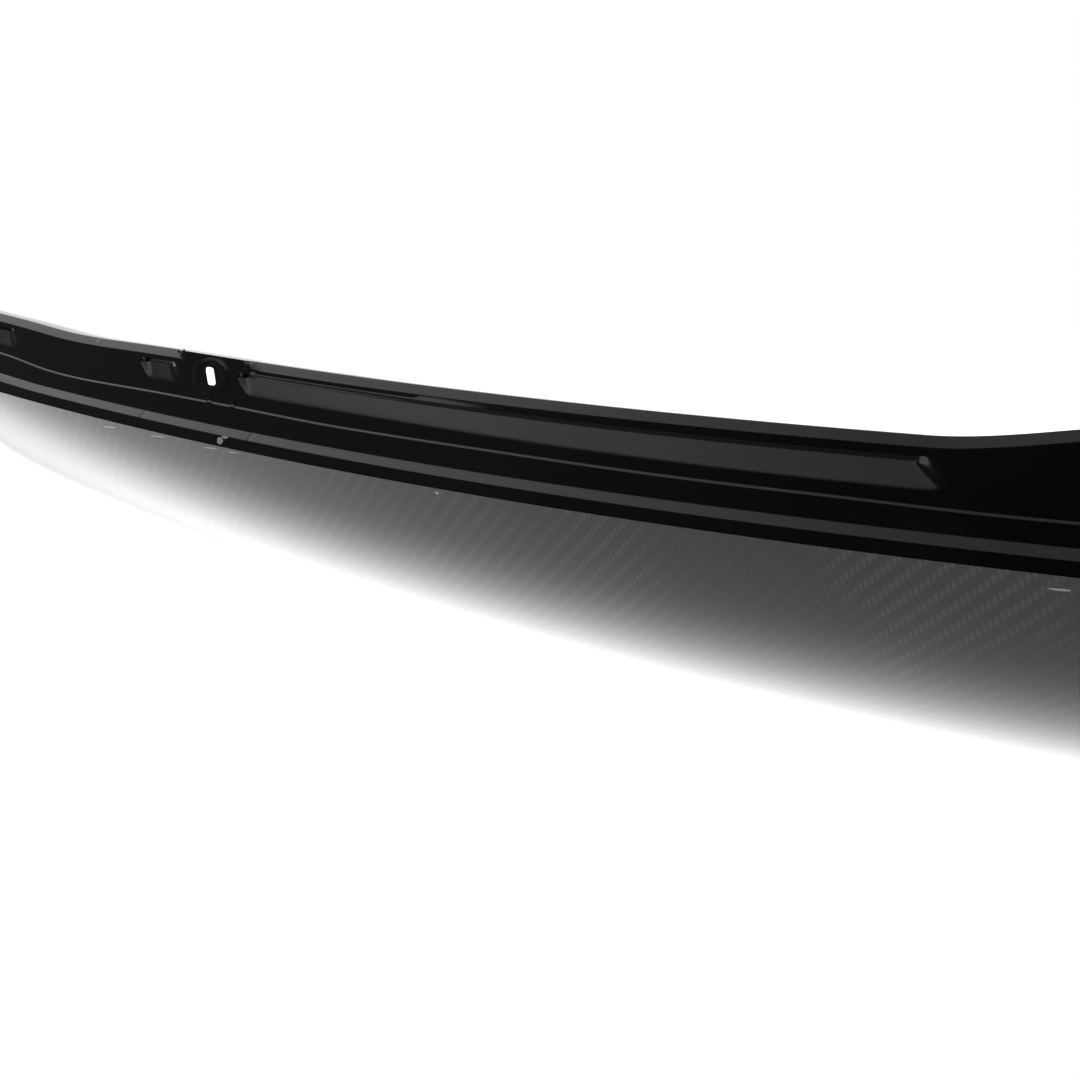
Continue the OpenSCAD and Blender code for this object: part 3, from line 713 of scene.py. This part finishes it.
def carbon_weave():
    """3K 2x2 twill, 2 mm tows square to the nose, under clear gloss lacquer, with a painted highlight on the
    warp tows.
    """
    mat, n = material("carbon_twill")
    uv = n.add("ShaderNodeUVMap", uv_map="weave").outputs[0]
    scale = n.add("ShaderNodeVectorMath", operation="SCALE")
    n.link(uv, scale.inputs[0])
    scale.inputs["Scale"].default_value = 1 / TOW_WIDTH
    split = n.add("ShaderNodeSeparateXYZ")
    n.link(scale.outputs[0], split.inputs[0])
    u, v = split.outputs[0], split.outputs[1]
    iu, iv = n.math("FLOOR", u), n.math("FLOOR", v)
    phase = n.math("FLOORED_MODULO", n.math("ADD", iu, iv), 4.0)
    warp = n.math("LESS_THAN", phase, 1.5)
    fu, fv = n.math("FRACT", u), n.math("FRACT", v)

    def crown(s):
        c = n.math("MULTIPLY_ADD", s, 2.0, -1.0)
        return n.math("SUBTRACT", 1.0, n.math("MULTIPLY", c, c))

    over_v = n.math("MULTIPLY", n.math("FLOORED_MODULO", n.math("ADD", v, iu), 4.0), 0.5)
    along_u = n.math("SUBTRACT", n.math("FLOORED_MODULO", n.math("ADD", u, iv), 4.0), 2.0)
    over_u = n.math("MULTIPLY", along_u, 0.5)
    swell_v = n.math("SINE", n.math("MULTIPLY", over_v, math.pi))
    swell_u = n.math("SINE", n.math("MULTIPLY", over_u, math.pi))
    h_warp = n.math("MULTIPLY", crown(fu), n.math("MULTIPLY_ADD", swell_v, 0.6, 0.4))
    h_weft = n.math("MULTIPLY", crown(fv), n.math("MULTIPLY_ADD", swell_u, 0.6, 0.4))
    height = n.math("ADD", n.math("MULTIPLY", warp, h_warp),
                    n.math("MULTIPLY", n.math("SUBTRACT", 1.0, warp), h_weft))
    fibres = n.noise(1.0, 2.0, 0.6, (900.0, 900.0, 900.0))
    # Painted highlight: the warp tows' crowns are painted lighter in the base colour, in uneven patches,
    # standing in for the fibres' sheen.
    painted_highlight_patches = n.ramp(n.noise(14.0, 2.0), 0.4, 0.62, 0.25, 1.2)
    painted_tow_highlight = n.math("POWER", n.math("MAXIMUM", h_warp, 0.0), 1.2)
    painted_light = n.math("MULTIPLY", n.math("MULTIPLY", warp, painted_tow_highlight), painted_highlight_patches)
    base = n.mix(painted_light, (0.003, 0.003, 0.0035), (0.031, 0.031, 0.033))
    base = n.mix(n.math("MULTIPLY", fibres, 0.4), base, (0.004, 0.004, 0.005))
    base = n.mix(n.marks(EDGE_CHIPS), base, (0.2, 0.2, 0.2))
    bump = n.bump(height, 0.00006, 0.25)
    shader = n.principled(Base_Color=base, Roughness=0.42, Normal=bump)
    shader.inputs["Specular IOR Level"].default_value = 0.15
    shader.inputs["Coat Weight"].default_value = 1.0
    shader.inputs["Coat Roughness"].default_value = 0.03
    shader.inputs["Coat IOR"].default_value = 1.4
    n.link(n.bump(n.noise(160.0, 2.0), 0.00002, 0.3), shader.inputs["Coat Normal"])
    return mat


def gloss_black():
    """Black gelcoat with a slight orange peel, fine dust and a few duller patches."""
    mat, n = material("gloss_black_gelcoat")
    dust = n.ramp(n.noise(700.0, 3.0, 0.7), 0.55, 0.85)
    base = n.mix(n.math("MULTIPLY", dust, 0.5), (0.0014, 0.0014, 0.002), (0.008, 0.008, 0.009))
    rough = n.ramp(n.noise(25.0, 4.0), 0.35, 0.7, 0.07, 0.16)
    peel = n.bump(n.noise(220.0, 2.0), 0.00003, 0.4)
    base = n.mix(n.marks(FRAME_CHIPS), base, (0.3, 0.3, 0.3))
    shader = n.principled(Base_Color=base, Roughness=rough, Normal=peel)
    shader.inputs["IOR"].default_value = 1.5
    return mat


def simple(name, colour, metallic, roughness, grain, depth, vary=0.3):
    """A material with mottled colour and roughness and a fine surface grain."""
    mat, n = material(name)
    blotch = n.ramp(n.noise(grain * 0.15, 4.0), 0.3, 0.7)
    dark = tuple(c * (1 - vary) for c in colour)
    n.principled(Base_Color=n.mix(blotch, dark, colour), Metallic=metallic,
                 Roughness=n.ramp(n.noise(grain * 0.4, 3.0), 0.3, 0.7, roughness * 0.8, roughness * 1.2),
                 Normal=n.bump(n.noise(grain, 5.0), depth, 0.5))
    return mat


def dress(ob, mat):
    ob.data.materials.clear()
    ob.data.materials.append(mat)


# ---------------------------------------------------------------- stage, light and camera
def build_stage():
    """A white floor whose glow paints the light on it: brighter to the left and behind, as the bonnet's
    lacquer shows it, and with no cast shadows.
    """
    me = bpy.data.meshes.new("floor")
    s = 30.0
    me.from_pydata([(-s, -s, 0), (s, -s, 0), (s, s, 0), (-s, s, 0)], [], [(0, 1, 2, 3)])
    floor = bpy.data.objects.new("floor", me)
    bpy.context.scene.collection.objects.link(floor)
    mat, n = material("studio_white_painted_light")
    split = n.add("ShaderNodeSeparateXYZ")
    n.link(n.add("ShaderNodeTexCoord").outputs["Object"], split.inputs[0])
    x, y = split.outputs[0], split.outputs[1]
    painted_light = n.add("ShaderNodeEmission")
    painted_light.inputs["Color"].default_value = (1, 1, 1, 1)
    # Painted light: the glow rises from the front back to a bright band, fades again further back, and is
    # brighter to the left.
    near = n.math("MULTIPLY", n.ramp(y, -0.46, -0.34, 1.0, 2.4), n.ramp(y, -0.34, -0.16, 1.0, 0.5))
    n.link(n.math("MULTIPLY", n.ramp(x, -0.1, -0.9, 1.0, 1.25), near), painted_light.inputs["Strength"])
    out = n.add("ShaderNodeOutputMaterial")
    n.link(painted_light.outputs[0], out.inputs["Surface"])
    dress(floor, mat)
    floor.location.z = -0.0005


def build_world():
    """A white studio: white to the camera, in reflections dark low behind it and bright high to the left."""
    world = bpy.data.worlds.new("studio")
    bpy.context.scene.world = world
    world.use_nodes = True
    n = Nodes(world.node_tree)
    split = n.add("ShaderNodeSeparateXYZ")
    n.link(n.add("ShaderNodeTexCoord").outputs["Generated"], split.inputs[0])
    x, y, z = split.outputs
    high = n.ramp(x, -0.15, -0.8, 0.44, 1.15)
    low = n.ramp(x, -0.1, -0.85, 0.02, 0.11)
    light = n.mix(n.ramp(z, 0.44, 0.62), low, high)
    ahead = n.math("MULTIPLY", n.ramp(y, 0.2, 0.5), n.ramp(z, 0.6, 0.4))
    light = n.mix(ahead, light, (1.0, 1.0, 1.0))
    light = n.mix(n.math("LESS_THAN", z, 0.0), light, (1.0, 1.0, 1.0))
    seen = n.mix(n.add("ShaderNodeLightPath").outputs["Is Camera Ray"], light, (1.0, 1.0, 1.0))
    bg = n.add("ShaderNodeBackground")
    n.link(seen, bg.inputs["Color"])
    out = n.add("ShaderNodeOutputWorld")
    n.link(bg.outputs[0], out.inputs["Surface"])


# The photograph's viewing angle: turned, tipped and rolled by these degrees
CAMERA_AT, CAMERA_ANGLES, CAMERA_LENS = (-0.04864, -0.8904, 0.19034), (29.97, 7.35, 1.05), 46.67


def build_camera():
    cam = bpy.data.objects.new("camera", bpy.data.cameras.new("camera"))
    bpy.context.scene.collection.objects.link(cam)
    bpy.context.scene.camera = cam
    cam.data.sensor_width = 36.0
    cam.data.lens = CAMERA_LENS
    cam.data.clip_start, cam.data.clip_end = 0.01, 100
    yaw, pitch, roll = (math.radians(v) for v in CAMERA_ANGLES)
    ahead = Vector((-math.sin(yaw) * math.cos(pitch), math.cos(yaw) * math.cos(pitch), -math.sin(pitch)))
    right = Vector((math.cos(yaw), math.sin(yaw), 0))
    up = right.cross(ahead)
    right, up = right * math.cos(roll) + up * math.sin(roll), up * math.cos(roll) - right * math.sin(roll)
    m = Matrix((right, up, -ahead)).transposed().to_4x4()
    m.translation = Vector(CAMERA_AT)
    cam.matrix_world = m


build_camera()
build_world()
build_stage()
build_skin()
build_frame()

STEEL = simple("zinc_steel", (0.62, 0.62, 0.6), 1.0, 0.32, 900.0, 0.00002)
ALLOY = simple("machined_alloy", (0.7, 0.71, 0.73), 1.0, 0.3, 700.0, 0.00002)
YELLOW = simple("yellow_zinc", (0.6, 0.45, 0.18), 1.0, 0.35, 800.0, 0.00002)
COAT = simple("black_electrocoat", (0.02, 0.02, 0.021), 0.0, 0.4, 900.0, 0.00003)
SPRING = simple("oiled_spring", (0.22, 0.22, 0.23), 1.0, 0.35, 900.0, 0.00001)
RUBBER = simple("moulded_rubber", (0.025, 0.025, 0.025), 0.0, 0.7, 1200.0, 0.00005)
GLUE = simple("adhesive", (0.08, 0.08, 0.075), 0.0, 0.6, 300.0, 0.0001)
LOOKS = {"bond": GLUE, "latch_plate": ALLOY, "hinge_plate": ALLOY, "buffer_boss": ALLOY,
         "striker": STEEL, "hinge_bolts": STEEL, "hinge_pin": STEEL, "catch_pivot": STEEL,
         "buffer_stud": STEEL, "safety_catch": YELLOW, "catch_spring": SPRING,
         "hinge_arm": COAT, "hinge_bracket": COAT, "buffer_left": RUBBER, "buffer_right": RUBBER,
         "rear_seal": RUBBER}
for node_name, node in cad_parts.items():
    for start, look in LOOKS.items():
        if node_name.startswith(start):
            dress(node, look)

scene = bpy.context.scene
scene.view_settings.view_transform = "Standard"
